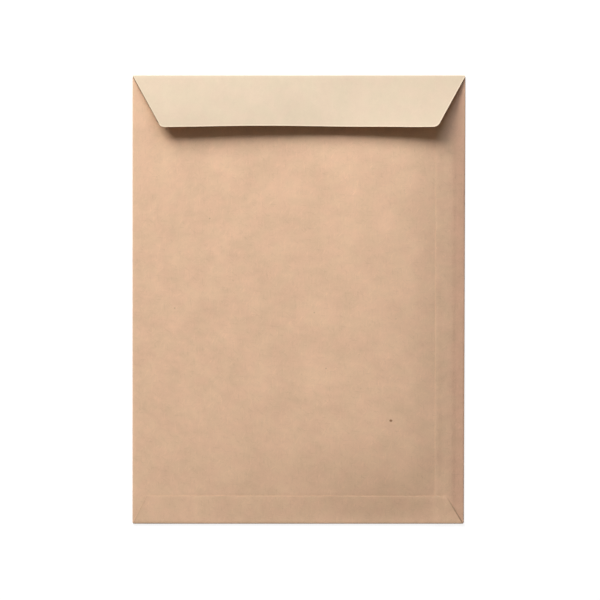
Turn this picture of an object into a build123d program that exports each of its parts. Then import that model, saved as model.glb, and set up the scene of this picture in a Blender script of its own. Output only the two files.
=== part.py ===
"""A kraft paper pocket envelope, folded and glued from one blank.

It lies on its front panel with the flap side up. X runs across the width, Y runs up
the envelope towards the top flap, and Z is the height above what it lies on. The
origin is the middle of the underside. All sizes are millimetres and degrees.

The layers, from below: the front panel, the empty pocket, the back panel that comes
round from the left edge, the narrow side flap that comes round from the right edge and
is glued over the back panel's margin, and the bottom flap that is glued over both. The
top flap folds over from the front panel's top edge. It is left unsealed, so it stands
up a little, with its free edge in the air. Where two layers are glued they touch face
to face, so the whole envelope is one solid.
"""
from build123d import *
import math
import os

os.makedirs("parts", exist_ok=True)

# The closed envelope
width = 260.0
height = 350.0

# The paper, and the free height inside the empty pocket under the back panel
paper = 0.15
pocket_gap = 1.0

# The side seam: the width of the side flap, and how much of it is glued to the back
side_flap_width = 23.0
seam_overlap = 13.5

# The back panel's cut edge at the mouth, below the top fold
throat_drop = 1.5

# The top flap: its depth along the paper, its slanted ends, its rounded corners
flap_depth = 41.5
flap_inset_left = 22.5
flap_inset_right = 22.5
flap_corner_radius = 5.5
flap_lift = 15.0
flap_root_gap = 0.1

# The bottom flap: its depth, its slanted ends, its corners
bottom_depth = 21.0
bottom_inset_left = 10.5
bottom_inset_right = 13.0
bottom_corner_radius = 1.5

# Room by which a cutting outline runs past a folded edge
cut_margin = 5.0

# The edges of the closed envelope
left = -width / 2
right = width / 2
bottom = -height / 2
top = height / 2

# The heights of the layers
front_top = paper
back_bottom = front_top + pocket_gap
back_top = back_bottom + paper
side_flap_top = back_top + paper

# The outer radii of the folds: each turns from the front panel to its own layer
left_radius = back_top / 2
right_radius = side_flap_top / 2
top_radius = (side_flap_top + paper + flap_root_gap) / 2

# How far the lifted top flap reaches over the back, seen from above
flap_reach = flap_depth * math.cos(math.radians(flap_lift))

# Where the sleeve starts, inside the bottom fold
sleeve_bottom = bottom + (back_top + paper) / 2

# The side seam's two cut edges: the side flap's, which shows, and the back panel's
seam_x = right - side_flap_width
back_edge_x = seam_x + seam_overlap


def fold_section(edge, outward, radius, turn, run, at_x):
    """Return the section of a panel that folds over at a crease, in the plane x = at_x.

    edge is the crease's place along Y, outward is 1 at the top and -1 at the bottom,
    radius is the outer radius, turn the angle of the fold and run the panel's depth.
    """
    start = edge - outward * radius
    with BuildSketch(Plane.YZ.offset(at_x)) as section:
        with BuildLine():
            outer_turn = JernArc((start, 0), (outward, 0), radius, outward * turn)
            outer_face = Line(outer_turn @ 1, outer_turn @ 1 + (outer_turn % 1) * run)
            inner_turn = JernArc((start, paper), (outward, 0), radius - paper, outward * turn)
            inner_face = Line(inner_turn @ 1, inner_turn @ 1 + (inner_turn % 1) * run)
            Line(outer_face @ 1, inner_face @ 1)
            Line(outer_turn @ 0, inner_turn @ 0)
        make_face()
    return section.sketch


# The sleeve: front panel, left fold and back panel, right fold and side flap in one
# section, with the pocket as the hole in it
with BuildPart() as sleeve:
    with BuildSketch(Plane.XZ.offset(-sleeve_bottom)):
        with BuildLine():
            Line((seam_x, side_flap_top), (right - right_radius, side_flap_top))
            ThreePointArc(
                (right - right_radius, side_flap_top),
                (right, right_radius),
                (right - right_radius, 0),
            )
            Line((right - right_radius, 0), (left + left_radius, 0))
            ThreePointArc(
                (left + left_radius, 0),
                (left, left_radius),
                (left + left_radius, back_top),
            )
            Polyline(
                (left + left_radius, back_top),
                (seam_x, back_top),
                (seam_x, side_flap_top),
            )
        make_face()
        with BuildLine():
            ThreePointArc(
                (right - right_radius, back_top),
                (right - paper, right_radius),
                (right - right_radius, front_top),
            )
            Line((right - right_radius, front_top), (left + left_radius, front_top))
            ThreePointArc(
                (left + left_radius, front_top),
                (left + paper, left_radius),
                (left + left_radius, back_bottom),
            )
            Polyline(
                (left + left_radius, back_bottom),
                (back_edge_x, back_bottom),
                (back_edge_x, back_top),
                (right - right_radius, back_top),
            )
        make_face(mode=Mode.SUBTRACT)
    extrude(amount=sleeve_bottom - (top - throat_drop))

# The strip of front panel between the mouth of the sleeve and the top fold
with BuildPart() as front_lip:
    with BuildSketch(Plane.XY):
        with BuildLine():
            Polyline(
                (left + left_radius, top - throat_drop),
                (right - right_radius, top - throat_drop),
                (right - right_radius, top - top_radius),
                (left + left_radius, top - top_radius),
                close=True,
            )
        make_face()
    extrude(amount=paper)

# The top flap, cut from its folded section by its outline as seen from above. At its root
# it is as wide as the folded envelope
with BuildPart() as top_flap:
    section = fold_section(top, 1, top_radius, 180 - flap_lift, flap_depth + cut_margin, left)
    extrude(section, amount=width, dir=(1, 0, 0))
    with BuildSketch(Plane.XY) as outline:
        with BuildLine():
            Polyline(
                (left, top + cut_margin),
                (left, top),
                (left + flap_inset_left, top - flap_reach),
                (right - flap_inset_right, top - flap_reach),
                (right, top),
                (right, top + cut_margin),
                close=True,
            )
        make_face()
        fillet(outline.vertices().group_by(Axis.Y)[0], flap_corner_radius)
    extrude(amount=flap_depth, mode=Mode.INTERSECT)

# The bottom flap, made in the same way. It is closed flat on the back panel, and on its
# right it steps up by one paper to lie on the side flap
with BuildPart() as bottom_flap:
    for start_x, end_x, under in (
        (left, seam_x, back_top),
        (seam_x - paper, right, side_flap_top),
    ):
        radius = (under + paper) / 2
        section = fold_section(bottom, -1, radius, 180, bottom_depth + cut_margin, start_x)
        extrude(section, amount=end_x - start_x, dir=(1, 0, 0))
    with BuildSketch(Plane.XY) as outline:
        with BuildLine():
            Polyline(
                (left + left_radius, bottom),
                (right - right_radius, bottom),
                (right - bottom_inset_right, bottom + bottom_depth),
                (left + bottom_inset_left, bottom + bottom_depth),
                close=True,
            )
        make_face()
        fillet(outline.vertices().group_by(Axis.Y)[-1], bottom_corner_radius)
    extrude(amount=bottom_depth, mode=Mode.INTERSECT)

# One sheet, folded and glued: all of it joins in one solid
with BuildPart() as envelope:
    add(sleeve.part)
    add(front_lip.part)
    add(top_flap.part)
    add(bottom_flap.part)

envelope.part.label = "envelope"
export_step(envelope.part, "parts/envelope.step")
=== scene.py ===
# %% [markdown]
# # A kraft paper pocket envelope
#
# The envelope is one sheet of brown paper. It is cut to a flat blank, folded along four
# creases and glued to itself in two places. This lesson makes it in the same way: the
# blank is laid out flat from grids, each crease is turned over in small steps, the stack
# of layers is given the gentle relief that paper has, and a thickness is added last.
# Folding a flat sheet, and not building a box, keeps every panel at the size it was cut
# to. It also lets the grain of the paper run on over the folds, because the flat places
# are kept as a UV map before anything is turned.
#
# The first cell loads the measured model. It is the frame that everything is placed by.

# %% Load the frame
import math

import bmesh
import bpy
from mathutils import Matrix, Vector, noise


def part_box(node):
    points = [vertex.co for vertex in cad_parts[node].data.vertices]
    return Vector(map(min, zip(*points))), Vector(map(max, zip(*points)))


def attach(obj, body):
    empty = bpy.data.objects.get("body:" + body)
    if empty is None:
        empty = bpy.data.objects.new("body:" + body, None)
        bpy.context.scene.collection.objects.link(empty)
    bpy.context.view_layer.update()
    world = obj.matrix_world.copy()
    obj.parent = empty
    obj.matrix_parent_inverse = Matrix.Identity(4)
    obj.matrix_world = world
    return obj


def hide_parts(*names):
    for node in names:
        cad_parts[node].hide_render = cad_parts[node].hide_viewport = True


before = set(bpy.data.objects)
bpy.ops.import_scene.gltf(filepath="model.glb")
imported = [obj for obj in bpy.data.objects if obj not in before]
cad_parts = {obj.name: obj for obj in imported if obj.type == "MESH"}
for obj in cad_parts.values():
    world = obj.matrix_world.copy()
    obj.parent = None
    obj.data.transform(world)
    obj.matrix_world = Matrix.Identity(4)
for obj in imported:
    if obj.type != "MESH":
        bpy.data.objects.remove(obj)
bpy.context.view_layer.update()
low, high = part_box("envelope")
width = high.x - low.x
height = high.y - low.y
print(f"envelope {width:.3f} x {height:.3f} m, {high.z - low.z:.4f} m high")

# %% [markdown]
# ## Sizes
#
# The outline comes from the frame. What the frame can't tell is written here once: the
# paper, the seams and the flaps. A fold is half a circle, so the layer that it leads to
# lies two radii up, and the strip of paper that it uses up is half the way round.

# %% Sizes of the paper, the seams and the flaps
mm = 0.001
left, right = low.x, high.x
bottom, top = low.y, high.y

paper = 0.15 * mm
glue = 0.06 * mm
pocket_gap = 1.0 * mm
flap_root_gap = 0.1 * mm
back_level = pocket_gap + paper
throat_drop = 1.5 * mm

side_flap_width = 23.0 * mm
seam_overlap = 13.5 * mm
seam_x = right - side_flap_width
back_edge_x = seam_x + seam_overlap

flap_depth = 41.5 * mm
flap_insets = (22.5 * mm, 22.5 * mm)
flap_corner = 5.5 * mm
flap_lift = 15.0

bottom_depth = 21.0 * mm
bottom_insets = (10.5 * mm, 13.0 * mm)
bottom_corner = 1.5 * mm

side_fold = back_level / 2
bottom_fold = (back_level + paper) / 2
top_fold = (back_level + 2 * paper + flap_root_gap) / 2

front_left = left + side_fold + paper / 2
front_right = right - side_fold - paper / 2
front_bottom = bottom + bottom_fold + paper / 2
front_top = top - top_fold - paper / 2
throat = top - throat_drop
print(f"folds {side_fold * 1000:.3f}, {bottom_fold * 1000:.3f}, {top_fold * 1000:.3f} mm")

# %% [markdown]
# ## The blank
#
# A sheet that will be bent needs a grid of small cells, and each crease needs a few
# narrow columns of its own to turn through. `create_grid` makes each panel and each
# crease strip at its own density. They share their border points, so merging the doubles
# makes one sheet of them.
#
# The ends of the top flap and the bottom flap are cut on a slant, with rounded corners.
# The grid of such a flap is drawn in towards its middle, row by row, to follow that
# outline. The glued margins get finer cells than the rest, because the seams show there.

# %% Lay out the blank
cell = 2.5 * mm
fine_cell = 1.1 * mm
fine_border = 4.0 * mm
fold_steps = 8
corner_rows = 6
top_flap_rows = 24
bottom_flap_rows = 18
merge_distance = 0.01 * mm


def panel(bm, x_span, y_span, columns, rows):
    """Add a flat grid between two X places and two Y places."""
    size = Vector((x_span[1] - x_span[0], y_span[1] - y_span[0], 1))
    middle = Vector((sum(x_span) / 2, sum(y_span) / 2, 0))
    place = Matrix.Translation(middle) @ Matrix.Diagonal(size.to_4d())
    made = bmesh.ops.create_grid(
        bm, x_segments=columns, y_segments=rows, size=0.5, matrix=place
    )
    return made["verts"]


def inset_at(depth, reach, inset, corner):
    """How far a flap's outline is cut in, at a depth from its crease."""
    slant = math.atan2(inset, reach)
    straight_end = reach - corner * (1 - math.sin(slant))
    if depth <= straight_end:
        return inset * depth / reach
    centre = reach - corner
    centre_in = inset * centre / reach + corner / math.cos(slant)
    return centre_in - math.sqrt(max(corner**2 - (depth - centre) ** 2, 0))


def flap(bm, crease, outward, fold_length, reach, insets, corner, rows, root_out=0.0):
    """Add a flap with slanted ends beyond a crease, and its fold strip.

    root_out is how far the strip widens at each end on its way to the flap.
    """
    first = crease + outward * fold_length
    strip = panel(bm, front_span, sorted((crease, first)), front_columns, fold_steps)
    half = (front_span[1] - front_span[0]) / 2
    for v in strip:
        v.co.x *= 1 + root_out / half * abs(v.co.y - crease) / fold_length
    verts = panel(bm, front_span, (0, 1), front_columns, rows)
    slant = max(math.atan2(inset, reach) for inset in insets)
    straight_rows = rows - corner_rows
    straight_end = reach - corner * (1 - math.sin(slant))
    for v in verts:
        row = v.co.y * rows
        if row <= straight_rows:
            depth = straight_end * row / straight_rows
        else:
            share = (row - straight_rows) / corner_rows
            angle = slant + (math.pi / 2 - slant) * share
            depth = reach - corner * (1 - math.sin(angle))
        across = (v.co.x - front_span[0]) / (front_span[1] - front_span[0])
        cut_left = inset_at(depth, reach, insets[0], corner)
        cut_right = inset_at(depth, reach, insets[1], corner)
        v.co.x += (cut_left - root_out) * (1 - across) - (cut_right - root_out) * across
        v.co.y = first + outward * depth


front_span = (front_left, front_right)
front_columns = round((front_right - front_left) / cell)
side_strip = math.pi * side_fold
bottom_strip = math.pi * bottom_fold
top_turn = math.radians(180 - flap_lift)
top_strip = top_turn * top_fold
back_width = back_edge_x - front_left
side_width = front_right - seam_x
back_start = front_left - side_strip
back_end = back_start - back_width
side_start = front_right + side_strip
glued_width = seam_overlap + fine_border
glued_height = bottom_depth + fine_border
glued_top = front_bottom + glued_height
glued_start = back_end + glued_width

sheet = bmesh.new()
body_bands = (
    (front_bottom, glued_top, round(glued_height / fine_cell)),
    (glued_top, throat, round((throat - glued_top) / cell)),
)
body_strips = (
    (front_left, front_right, front_columns),
    (back_start, front_left, fold_steps),
    (glued_start, back_start, round((back_start - glued_start) / cell)),
    (back_end, glued_start, round(glued_width / fine_cell)),
    (front_right, side_start, fold_steps),
    (side_start, side_start + side_width, round(side_width / fine_cell)),
)
for band_start, band_end, rows in body_bands:
    for strip_start, strip_end, columns in body_strips:
        panel(sheet, (strip_start, strip_end), (band_start, band_end), columns, rows)
panel(sheet, front_span, (throat, front_top), front_columns, 1)
top_shape = (flap_depth, flap_insets, flap_corner, top_flap_rows, right - front_right)
bottom_shape = (bottom_depth, bottom_insets, bottom_corner, bottom_flap_rows)
flap(sheet, front_top, 1, top_strip, *top_shape)
flap(sheet, front_bottom, -1, bottom_strip, *bottom_shape)
bmesh.ops.remove_doubles(sheet, verts=sheet.verts, dist=merge_distance)
bmesh.ops.recalc_face_normals(sheet, faces=sheet.faces)
if sheet.faces[:][0].normal.z > 0:
    bmesh.ops.reverse_faces(sheet, faces=sheet.faces)
area = sum(f.calc_area() for f in sheet.faces)
print(f"blank: {len(sheet.faces)} cells, {area:.4f} square metres")

# %% [markdown]
# ## Keeping the flat places
#
# The flat place of every point goes into a UV map, in metres. The fibres of the paper are
# drawn on it later, so that they follow the sheet over its folds. The same flat places
# say which panel a point is in, so they are kept in a dictionary for the folding too.

# %% Keep the flat places
sheet_uv = sheet.loops.layers.uv.new("sheet")
for face in sheet.faces:
    for loop in face.loops:
        loop[sheet_uv].uv = loop.vert.co.xy
flat = {v: v.co.copy() for v in sheet.verts}

# %% [markdown]
# ## Folding
#
# A crease is turned over in small steps, each about its own line. The outermost line goes
# first: everything beyond it is still flat, so each line is still where it was drawn when
# its turn comes. The first and the last line turn half as far as the others, which keeps
# the panels level with the crease's round.

# %% Fold the creases
tiny = 0.001 * mm


def fold_over(along, crease, outward, strip, turn):
    """Turn all of the sheet beyond a crease over it, up from the table.

    along is 0 for a crease at an X place and 1 for a crease at a Y place.
    """
    axis = Vector((0, -outward, 0)) if along == 0 else Vector((outward, 0, 0))
    for step in reversed(range(fold_steps + 1)):
        line = crease + outward * strip * step / fold_steps
        share = 0.5 if step in (0, fold_steps) else 1.0
        beyond = [v for v, place in flat.items() if (place[along] - line) * outward > tiny]
        centre = Vector((line, 0, 0)) if along == 0 else Vector((0, line, 0))
        spin = Matrix.Rotation(turn * share / fold_steps, 3, axis)
        bmesh.ops.rotate(sheet, verts=beyond, cent=centre, matrix=spin)


fold_over(0, front_left, -1, side_strip, math.pi)
fold_over(0, front_right, 1, side_strip, math.pi)
fold_over(1, front_bottom, -1, bottom_strip, math.pi)
fold_over(1, front_top, 1, top_strip, top_turn)
heights = [v.co.z for v in sheet.verts]
print(f"folded: {min(heights) * 1000:.2f} to {max(heights) * 1000:.2f} mm")

# %% [markdown]
# ## Relief
#
# Real paper is never flat. Air in the pocket lifts the back panel by a few millimetres,
# the sheet has slow waves and small cockles, and the seams print through what lies on them.
# All the layers above the pocket move together, so they can't cut through each other.
# Each point keeps its share of the height, from 0 on the table to 1 on its own layer,
# and the folded edges stay where they are because the relief runs out towards them.
#
# The top flap is free, so it has a lift and a ripple of its own, which grow with the
# distance from its crease. Last of all, the sheet wasn't folded quite square: its right
# edge leans in a little towards the bottom.

# %% Relief of the layers
pocket_air = 3.7 * mm
pocket_edge = 25.0 * mm
air_rise, air_fall = 1.6, 0.75
strip_lift = 3.2 * mm
strip_start_x, strip_peak_x = -10.0 * mm, 85.0 * mm
paper_waves = (
    (0.35 * mm, 80 * mm, 3.1),
    (0.14 * mm, 26 * mm, 7.7),
    (0.04 * mm, 9 * mm, 1.9),
)
waves_run_out = 6 * mm
wrinkle_height = 0.08 * mm
wrinkle_size = (2.8 * mm, 22 * mm)
flap_edge_y = front_bottom + bottom_depth
print_depth = 0.06 * mm
out_of_square = 1.3 * mm


def smooth(value, start, end):
    """0 before start, 1 after end, and a smooth turn between them."""
    share = min(max((value - start) / (end - start), 0.0), 1.0)
    return share * share * (3 - 2 * share)


def wave(x, y, size, seed):
    """A smooth random height between about -1 and 1, in waves of a size."""
    return noise.noise(Vector((x / size, y / size, seed)))


def run_out(x, y, reach):
    """1 in the middle of the panel, running out to 0 at its folded edges."""
    edge = min(x - left, right - x, y - bottom, top - y)
    return 1 - math.exp(-max(edge, 0) / reach)


def air(x, y):
    """The air in the pocket: a low hump, right of the middle, steep at the right edge."""
    across = min(max((x - left) / width, 0), 1)
    up = min(max((y - bottom) / height, 0), 1)
    peak = air_rise / (air_rise + air_fall)
    hump = across**air_rise * (1 - across) ** air_fall
    hump = hump / (peak**air_rise * (1 - peak) ** air_fall)
    end = min(y - bottom, top - y)
    ends = (1 - (2 * up - 1) ** 6) * (1 - math.exp(-max(end, 0) / pocket_edge))
    strip = smooth(x, strip_start_x, strip_peak_x) * (1 - smooth(x, strip_peak_x, right))
    return (pocket_air * hump + strip_lift * strip) * ends


def pressed(x, y):
    """The back is pushed up just past the bottom flap, and the seam leaves a low ridge."""
    above_flap = smooth(y, flap_edge_y + 0.1 * mm, flap_edge_y + 1.8 * mm)
    past_seam = smooth(x, seam_x, seam_x + 1.4 * mm)
    ridge = past_seam * (1 - smooth(x, seam_x + 2.0 * mm, seam_x + 5.5 * mm))
    fading = 0.4 + 1.2 * smooth(-y, -60 * mm, 120 * mm)
    return print_depth * (above_flap * 0.7 + ridge * fading)


def relief(x, y):
    """How far the back of the envelope stands above its folded edges."""
    waves = sum(rise * wave(x, y, size, seed) for rise, size, seed in paper_waves)
    in_strip = smooth(x, seam_x + 8 * mm, seam_x + 14 * mm) * smooth(-y, 60 * mm, 110 * mm)
    stretched = Vector((x / wrinkle_size[0], y / wrinkle_size[1], 6.3))
    waves += wrinkle_height * in_strip * noise.noise(stretched)
    return air(x, y) + (waves + pressed(x, y)) * run_out(x, y, waves_run_out)


def seam_height(x):
    """The side flap on the back panel: up at its cut edge, down past the hidden one."""
    under = 1 - smooth(x, back_edge_x - 0.5 * mm, back_edge_x + 2.8 * mm)
    return (paper + glue) * under


def end_lift(x, y):
    """The slanted ends of the bottom flap spring up, the right one more than the left."""
    depth = (y - bottom) / bottom_depth
    to_left = x - left - bottom_insets[0] * depth
    to_right = right - bottom_insets[1] * depth - x
    on_left = 0.10 * mm * (1 - smooth(to_left, 0, 5 * mm))
    return on_left + 0.50 * mm * (1 - smooth(to_right, 0, 6 * mm)) * smooth(1 - depth, -0.3, 0.4)


def free_lift(x, y, reach):
    """How far the top flap stands off its even slope, most of all on its right half."""
    on_right = 4.0 * mm * smooth(x, 0, 100 * mm)
    on_left = 0.5 * mm * smooth(-x, 20 * mm, 100 * mm)
    ripple = 0.4 * mm * wave(x, 0, 70 * mm, 2.4) + 0.2 * mm * wave(x, y, 25 * mm, 9.3)
    return reach**2 * (on_right - on_left - 1.1 * mm) + reach**1.3 * ripple


def free_shift(x, reach):
    """The top flap's free edge isn't straight: it waves, and reaches lower on the right."""
    sway = 0.5 * mm * math.cos(2 * math.pi * (x + 27 * mm) / (180 * mm))
    return reach**1.5 * (sway - 0.6 * mm * smooth(x, 60 * mm, 100 * mm))


for v in sheet.verts:
    place = flat[v]
    x, y, z = v.co
    if place.x < front_left - tiny:
        v.co.z = z / back_level * (back_level + relief(x, y))
    elif place.x > front_right + tiny:
        v.co.z = z / back_level * (back_level + relief(x, y) + seam_height(x))
    elif place.y < front_bottom - tiny:
        level = 2 * bottom_fold
        depth = front_bottom - bottom_strip - place.y
        printed = smooth(x, seam_x - 0.8 * mm, seam_x + 0.6 * mm) * seam_height(x)
        v.co.z = z / level * (level + glue + relief(x, y) + printed + end_lift(x, y))
        v.co.z -= 0.05 * mm * smooth(depth, bottom_depth - 1.6 * mm, bottom_depth)
    elif place.y > front_top + tiny:
        reach = max(place.y - front_top - top_strip, 0) / flap_depth
        v.co.z += free_lift(x, y, reach)
        v.co.y += free_shift(x, reach)

for v in sheet.verts:
    v.co.x -= out_of_square * (v.co.x - left) / width * (top - v.co.y) / height
bmesh.ops.translate(sheet, verts=sheet.verts, vec=(0, 0, paper / 2))
heights = [v.co.z for v in sheet.verts]
print(f"with relief: {min(heights) * 1000:.2f} to {max(heights) * 1000:.2f} mm")

# %% [markdown]
# ## Thickness
#
# The folded sheet becomes a mesh, and a Solidify modifier gives it the thickness of the
# paper, half to each side. The two faces and the cut edge get a material each. The
# modifier is made real here, because the cut edge has to stay crisp: only then can the
# steep angles be marked as sharp, while the folds stay round.

# %% Give the sheet its thickness
flat_mesh = bpy.data.meshes.new("kraft_envelope_flat")
sheet.to_mesh(flat_mesh)
sheet.free()
envelope = bpy.data.objects.new("kraft_envelope", flat_mesh)
bpy.context.scene.collection.objects.link(envelope)
for slot_name in ("kraft_outside", "kraft_inside", "kraft_cut_edge"):
    envelope.data.materials.append(bpy.data.materials.new(slot_name))

solidify = envelope.modifiers.new("paper", "SOLIDIFY")
solidify.thickness = paper
solidify.offset = 0
solidify.use_even_offset = True
solidify.material_offset = 1
solidify.material_offset_rim = 2
sharp_angle = 40.0
evaluated = envelope.evaluated_get(bpy.context.evaluated_depsgraph_get())
envelope.data = bpy.data.meshes.new_from_object(evaluated)
envelope.modifiers.clear()
envelope.data.name = "kraft_envelope"
envelope.data.shade_smooth()
envelope.data.set_sharp_from_angle(angle=math.radians(sharp_angle))
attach(envelope, "root")
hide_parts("envelope")
print(f"kraft_envelope: {len(envelope.data.polygons)} faces")

# %% [markdown]
# ## A way to write materials
#
# Node trees are easier to read as sums. `Field` stands for a number that changes over the
# surface. Adding or multiplying two of them adds a Math node. `Finish` holds a material's
# tree, and its method `node` makes any other node: its settings first, then what goes
# into its sockets.

# %% Fields and finishes


class Field:
    """The output of a node, which can be used in sums."""

    def __init__(self, finish, socket):
        self.finish = finish
        self.socket = socket

    def math(self, operation, *values):
        settings = {"operation": operation}
        return self.finish.node("ShaderNodeMath", settings, dict(enumerate(values)))

    def __add__(self, other):
        return self.math("ADD", self, other)

    def __sub__(self, other):
        return self.math("SUBTRACT", self, other)

    def __rsub__(self, other):
        return self.math("SUBTRACT", other, self)

    def __mul__(self, other):
        return self.math("MULTIPLY", self, other)

    __radd__ = __add__
    __rmul__ = __mul__

    def between(self, start, end):
        """0 up to start, 1 from end on, smooth between them."""
        settings = {"interpolation_type": "SMOOTHSTEP"}
        inputs = {"Value": self, "From Min": start, "From Max": end}
        return self.finish.node("ShaderNodeMapRange", settings, inputs)


class Finish:
    """A material and the nodes that make it."""

    def __init__(self, name):
        self.material = bpy.data.materials[name]
        self.material.use_nodes = True
        self.tree = self.material.node_tree
        self.shader = self.tree.nodes["Principled BSDF"]

    def node(self, kind, settings=None, inputs=None, output=0):
        made = self.tree.nodes.new(kind)
        for name, value in (settings or {}).items():
            setattr(made, name, value)
        self.fill(made, inputs or {})
        return Field(self, made.outputs[output])

    def fill(self, made, inputs):
        for name, value in inputs.items():
            if isinstance(value, Field):
                self.tree.links.new(value.socket, made.inputs[name])
            else:
                made.inputs[name].default_value = value

    def mix(self, factor, first, second, blend="MIX"):
        """Mix two colours."""
        settings = {"data_type": "RGBA", "blend_type": blend}
        return self.node("ShaderNodeMix", settings, {0: factor, 6: first, 7: second}, output=2)


# %% [markdown]
# ## Kraft paper
#
# Kraft is made of long brown fibres that nobody has bleached or coated. Close up it has
# clouds where the pulp lay thicker, short fibres that show lighter or darker in every
# direction, a few dark flecks of bark, and a fine tooth. Each of these is a noise pattern
# at its own scale, drawn on the flat sheet so that it is the same size everywhere.
#
# The colour changes over the sheet too, and some of that change is painted light. The top flap
# is paler, a painted sheen for its brighter lit face, with a painted highlight along its cut
# edges and a painted shadow line down its left end. The bottom flap has a painted shadow line
# down its right end and a faint one down its left, and the side flap has painted shade, a
# little darker and redder, along the right fold.

# %% Kraft paper


def colour(red, green, blue):
    """A screen colour, 0 to 255, as the linear colour that materials use."""
    parts = [c / 255 for c in (red, green, blue)]
    return [c / 12.92 if c <= 0.04045 else ((c + 0.055) / 1.055) ** 2.4 for c in parts] + [1]


# The patterns: each has a scale in repeats per metre, a detail and a roughness
cloud_noise = (42, 3.0, 0.55)
flock_noise = (170, 2.0, 0.6)
grain_noise = (1100, 2.0, 0.6)
stroke_noise = (130, 1.0, 0.5)
warm_noise = (75, 1.0, 0.5)
speck_scale = 110

# How strongly each of them shows
cloud_depth, flock_depth, grain_depth = 0.26, 0.13, 0.07
light_stroke, dark_stroke = 0.05, -0.055
speck_depth = 0.25
stroke_angles = (4, 92, 38, 140, 84, 118)
stroke_stretch = 7
stroke_shift = 0.37
fleck_depth = 0.85

# The surface: how rough and shiny it is, and how high its tooth stands
paper_roughness, paper_shine = 0.82, 0.3
tooth_strength, tooth_height = 0.4, 0.06 * mm


def noise_field(finish, place, scale, detail, roughness):
    inputs = {"Vector": place, "Scale": scale, "Detail": detail, "Roughness": roughness}
    return finish.node("ShaderNodeTexNoise", {}, inputs)


def turned(finish, place, degrees, stretch, shift):
    """The flat place, turned and squeezed along one way, to make a pattern of strokes."""
    inputs = {
        "Vector": place,
        "Location": (shift, -shift, 0),
        "Rotation": (0, 0, math.radians(degrees)),
        "Scale": (1, 1 / stretch, 1),
    }
    return finish.node("ShaderNodeMapping", {"vector_type": "TEXTURE"}, inputs)


def fleck(place, x, y, long, short):
    """1 inside a small dark spot of bark at a place on the flat sheet, 0 outside it."""
    finish = place.finish
    inputs = {
        "Vector": place,
        "Location": (-x / long, -y / short, 0),
        "Scale": (1 / long, 1 / short, 1),
    }
    centred = finish.node("ShaderNodeMapping", {"vector_type": "POINT"}, inputs)
    distance = finish.node("ShaderNodeVectorMath", {"operation": "LENGTH"}, {0: centred}, output=1)
    return 1 - distance.between(0.35, 1.0)


def kraft(name, tone, depth):
    """Fill a material with kraft paper.

    tone and depth are functions of the flat place: the paper's colour, and how strongly
    its clouds and fibres show.
    """
    finish = Finish(name)
    place = finish.node("ShaderNodeUVMap", {"uv_map": "sheet"})
    clouds = noise_field(finish, place, *cloud_noise)
    flocks = noise_field(finish, place, *flock_noise)
    grain = noise_field(finish, place, *grain_noise)
    marks = (clouds - 0.5) * cloud_depth + (flocks - 0.5) * flock_depth
    marks = marks + (grain - 0.5) * grain_depth
    for number, degrees in enumerate(stroke_angles):
        along = turned(finish, place, degrees, stroke_stretch, stroke_shift * number)
        strokes = noise_field(finish, along, *stroke_noise)
        marks = marks + strokes.between(0.60, 0.76) * (light_stroke if number % 2 else dark_stroke)
    speck = {"Vector": place, "Scale": speck_scale}
    distance = finish.node("ShaderNodeTexVoronoi", {}, speck)
    pick = finish.node("ShaderNodeTexVoronoi", {}, speck, output=1)
    rare = finish.node("ShaderNodeSeparateColor", {}, {0: pick}).between(0.955, 0.96)
    marks = marks - (1 - distance.between(0.04, 0.09)) * rare * speck_depth
    shade = 1 + marks * depth(place)
    grey = finish.node("ShaderNodeCombineColor", {}, {0: shade, 1: shade, 2: shade})
    warm = noise_field(finish, place, *warm_noise)
    hue = finish.mix(warm.between(0.36, 0.64), pink_cast, yellow_cast)
    toned = finish.mix(1.0, finish.mix(1.0, tone(place), hue, "MULTIPLY"), grey, "MULTIPLY")
    toned = finish.mix(fleck(place, *bark_fleck) * fleck_depth, toned, bark_tone)
    tooth = grain * 0.5 + flocks * 0.5
    bump = {"Strength": tooth_strength, "Distance": tooth_height, "Height": tooth}
    normal = finish.node("ShaderNodeBump", {}, bump)
    plain = {"Roughness": paper_roughness, "Specular IOR Level": paper_shine}
    finish.fill(finish.shader, plain | {"Base Color": toned, "Normal": normal})


body_tone = colour(225, 188, 158)
# painted sheen: the top flap's colour, paled and washed out for its brighter lit face
flap_sheen_tone = colour(208, 189, 166)
# painted highlight along the top flap's cut edges, where they catch the lamp
rim_highlight_tone = colour(222, 204, 180)
# painted shadow, for the dark lines along the flaps' slanted ends, in the gaps under them
shadow_line_tone = colour(96, 72, 52)
bark_tone = colour(128, 90, 60)
# painted shade, a little darker and redder, along the right fold
right_fold_shade_tone = colour(214, 171, 145)
inside_tone = colour(214, 182, 152)
cut_tone = colour(232, 208, 182)
pink_cast = (1.010, 0.994, 0.996, 1)
yellow_cast = (0.990, 1.004, 0.990, 1)

# The top flap's painted sheen, its paled colour, starts at this share of its crease strip
flap_sheen_start = 0.68
flap_sheen_border = 0.4 * mm

# The bark fleck: its place on the folded back, which gives its flat place, and its size
fleck_x, fleck_y = 72.2 * mm, -94.2 * mm
fleck_long, fleck_short = 1.6 * mm, 1.3 * mm
bark_fleck = (back_start - (fleck_x - front_left), fleck_y, fleck_long, fleck_short)


def sheet_x(place):
    return place.finish.node("ShaderNodeSeparateXYZ", {}, {0: place}, output=0)


def sheet_y(place):
    return place.finish.node("ShaderNodeSeparateXYZ", {}, {0: place}, output=1)


def slant_distance(place, depth, root, inward, inset, reach):
    """The distance in from a flap's slanted end, which starts at root."""
    slant = math.atan2(inset, reach)
    return ((sheet_x(place) - root) * inward - depth * math.tan(slant)) * math.cos(slant)


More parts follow.
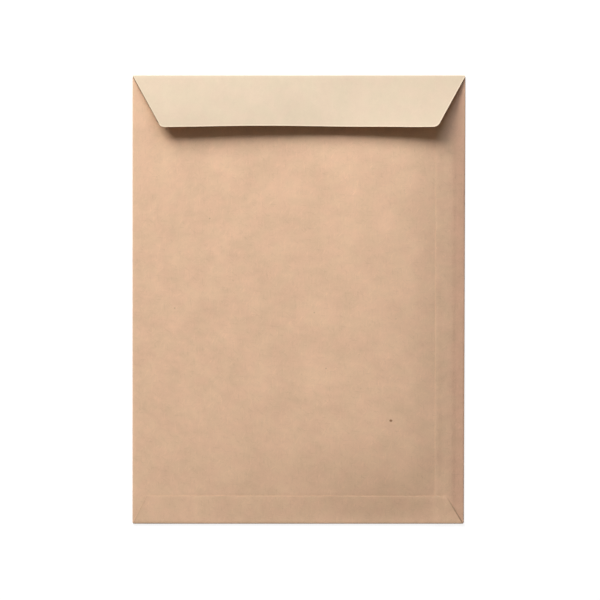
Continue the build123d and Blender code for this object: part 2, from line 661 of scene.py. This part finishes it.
def flap_marks(place, crease, outward, reach, insets, roots, corner):
    """A flap's depth, and the distances from its left end, right end and all of its edge."""
    depth = (sheet_y(place) - crease) * outward
    to_left = slant_distance(place, depth, roots[0], 1, insets[0], reach)
    to_right = slant_distance(place, depth, roots[1], -1, insets[1], reach)
    nearest = depth.math("SMOOTH_MIN", reach - depth, to_left, corner)
    nearest = nearest.math("SMOOTH_MIN", nearest, to_right, corner)
    return depth, to_left, to_right, nearest


def on_flap(place):
    """1 on the top flap, from just past the top of its crease, and 0 elsewhere."""
    start = front_top + top_strip * flap_sheen_start
    return sheet_y(place).between(start, start + flap_sheen_border)


def top_flap_marks(place):
    """The top flap's rim and its left end, as two fields that are 1 there and 0 elsewhere: the rim
    carries a painted highlight, the left end a painted shadow line.
    """
    crease = front_top + top_strip
    depth, to_left, to_right, nearest = flap_marks(
        place, crease, 1, flap_depth, flap_insets, (left, right), 0.85 * flap_corner
    )
    past_crease = depth.between(0, 1.0 * mm)
    rim = (1 - nearest.between(0.5 * mm, 1.3 * mm)) * past_crease
    # the band down the left end, where a painted shadow line goes
    left_end = (1 - to_left.between(0.15 * mm, 0.7 * mm)) * past_crease
    return rim, left_end * (flap_depth - depth).between(0, 4 * mm)


def bottom_flap_marks(place):
    """The bottom flap's left end, and its right end, which fades away from the crease: where
    painted shadow lines go.
    """
    crease = front_bottom - bottom_strip
    depth, to_left, to_right, nearest = flap_marks(
        place, crease, -1, bottom_depth, bottom_insets, front_span, bottom_corner
    )
    past_crease = depth.between(-0.5 * mm, 0.5 * mm)
    left_end = (1 - to_left.between(0.3 * mm, 1.0 * mm)) * past_crease
    right_end = (1 - to_right.between(0.4 * mm, 1.3 * mm)) * past_crease
    return left_end, right_end * (1 - depth.between(0, bottom_depth * 1.3))


def outside_tone(place):
    """Brown all over, with painted sheen, highlight and shadow lines on the flaps and painted
    shade along the right fold.
    """
    finish = place.finish
    rim, top_left_end = top_flap_marks(place)
    bottom_left_end, bottom_right_end = bottom_flap_marks(place)
    from_fold = sheet_x(place) - side_start
    # painted shade along the right fold and the strip of side flap beside it
    right_fold_shade = from_fold.between(-2 * mm, 0.5 * mm) * (1 - from_fold.between(3 * mm, 15 * mm))
    # painted sheen on the top flap: its colour paled for its brighter lit face
    toned = finish.mix(on_flap(place), body_tone, flap_sheen_tone)
    # painted highlight along the top flap's edges
    toned = finish.mix(rim, toned, rim_highlight_tone)
    # painted shadow: a dark line down the top flap's left end
    toned = finish.mix(top_left_end, toned, shadow_line_tone)
    # painted shadow: a dark line down the bottom flap's right end, which faces away from the lamp,
    # and a faint one down its left end
    toned = finish.mix(bottom_right_end * 0.6, toned, shadow_line_tone)
    toned = finish.mix(bottom_left_end * 0.1, toned, shadow_line_tone)
    return finish.mix(right_fold_shade * 0.7, toned, right_fold_shade_tone)


def edge_tone(place):
    """The cut edge: pale, with a painted shadow line along the top flap's left end."""
    rim, top_left_end = top_flap_marks(place)
    return place.finish.mix(top_left_end, cut_tone, shadow_line_tone)


# The clouds and fibres show less on the top flap and on the cut edge
kraft("kraft_outside", outside_tone, lambda place: 1 - on_flap(place) * 0.6)
kraft("kraft_inside", lambda place: inside_tone, lambda place: 1.0)
kraft("kraft_cut_edge", edge_tone, lambda place: 0.5)
print("materials:", ", ".join(m.name for m in envelope.data.materials))

# %% [markdown]
# ## Floor, light and camera
#
# The envelope lies on a plain white floor. A floor that is lit at a slant looks grey, so
# most of what the camera sees of it is a glow, and the rest is a white surface that keeps
# the shadow. Only the camera sees the glow, so it doesn't light the envelope.
#
# A large, soft lamp stands beyond the top edge, to the left, and lights the envelope at a
# slant, so that the open flap throws a shadow and the seams show. A weaker, cooler lamp
# straight above the top edge softens it, and a dim warm sky fills the shadows.

# %% Floor
floor_reach = 3.0
floor_drop = 0.05 * mm
glow_share = 0.7
glow_strength = 1.22
floor_mesh = bpy.data.meshes.new("floor")
floor_bm = bmesh.new()
bmesh.ops.create_grid(floor_bm, x_segments=1, y_segments=1, size=floor_reach)
bmesh.ops.translate(floor_bm, verts=floor_bm.verts, vec=(0, 0, -floor_drop))
floor_bm.to_mesh(floor_mesh)
floor_bm.free()
floor = bpy.data.objects.new("floor", floor_mesh)
bpy.context.scene.collection.objects.link(floor)
floor.data.materials.append(bpy.data.materials.new("white_floor"))
white = Finish("white_floor")
white.fill(white.shader, {"Base Color": (0.85, 0.85, 0.85, 1), "Roughness": 0.9})
by_camera = white.node("ShaderNodeLightPath")
glow_inputs = {"Color": (1, 1, 1, 1), "Strength": glow_strength}
glow = white.node("ShaderNodeEmission", {}, glow_inputs)
paint = Field(white, white.shader.outputs["BSDF"])
surface = white.node("ShaderNodeMixShader", {}, {0: by_camera * glow_share, 1: paint, 2: glow})
white.fill(white.tree.nodes["Material Output"], {"Surface": surface})
print(f"floor: {2 * floor_reach:.1f} m wide")

# %% Light
sky_colour = (1.0, 0.86, 0.70, 1)
sky_strength = 0.165
target = Vector((-0.02, 0.02, 0))


def lamp(name, place, size, power, tint):
    """Add a square lamp at a place, aimed at the target."""
    light = bpy.data.lights.new(name, "AREA")
    light.shape = "SQUARE"
    light.size = size
    light.energy = power
    light.color = tint
    holder = bpy.data.objects.new(name, light)
    holder.location = place
    holder.rotation_euler = (target - Vector(place)).to_track_quat("-Z", "Y").to_euler()
    bpy.context.scene.collection.objects.link(holder)


lamp("key", (-1.15, 1.77, 1.13), 1.16, 75.0, (1.0, 0.985, 0.95))
lamp("fill", (0.0, 1.97, 1.38), 1.30, 18.2, (0.87, 1.0, 1.18))
world = bpy.data.worlds.new("studio")
bpy.context.scene.world = world
world.use_nodes = True
sky = world.node_tree.nodes["Background"]
sky.inputs["Color"].default_value = sky_colour
sky.inputs["Strength"].default_value = sky_strength
print("lamps:", ", ".join(light.name for light in bpy.data.lights))

# %% Camera
sensor_width = 36.0
camera_distance = 1.6
view_width = 0.4686
camera_data = bpy.data.cameras.new("camera")
camera_data.sensor_width = sensor_width
camera_data.lens = sensor_width * camera_distance / view_width
camera = bpy.data.objects.new("camera", camera_data)
camera.location = (0.8 * mm, -0.4 * mm, camera_distance)
bpy.context.scene.collection.objects.link(camera)
bpy.context.scene.camera = camera
bpy.context.scene.view_settings.view_transform = "Standard"
print(f"camera: {camera_data.lens:.1f} mm lens, {camera_distance} m up")
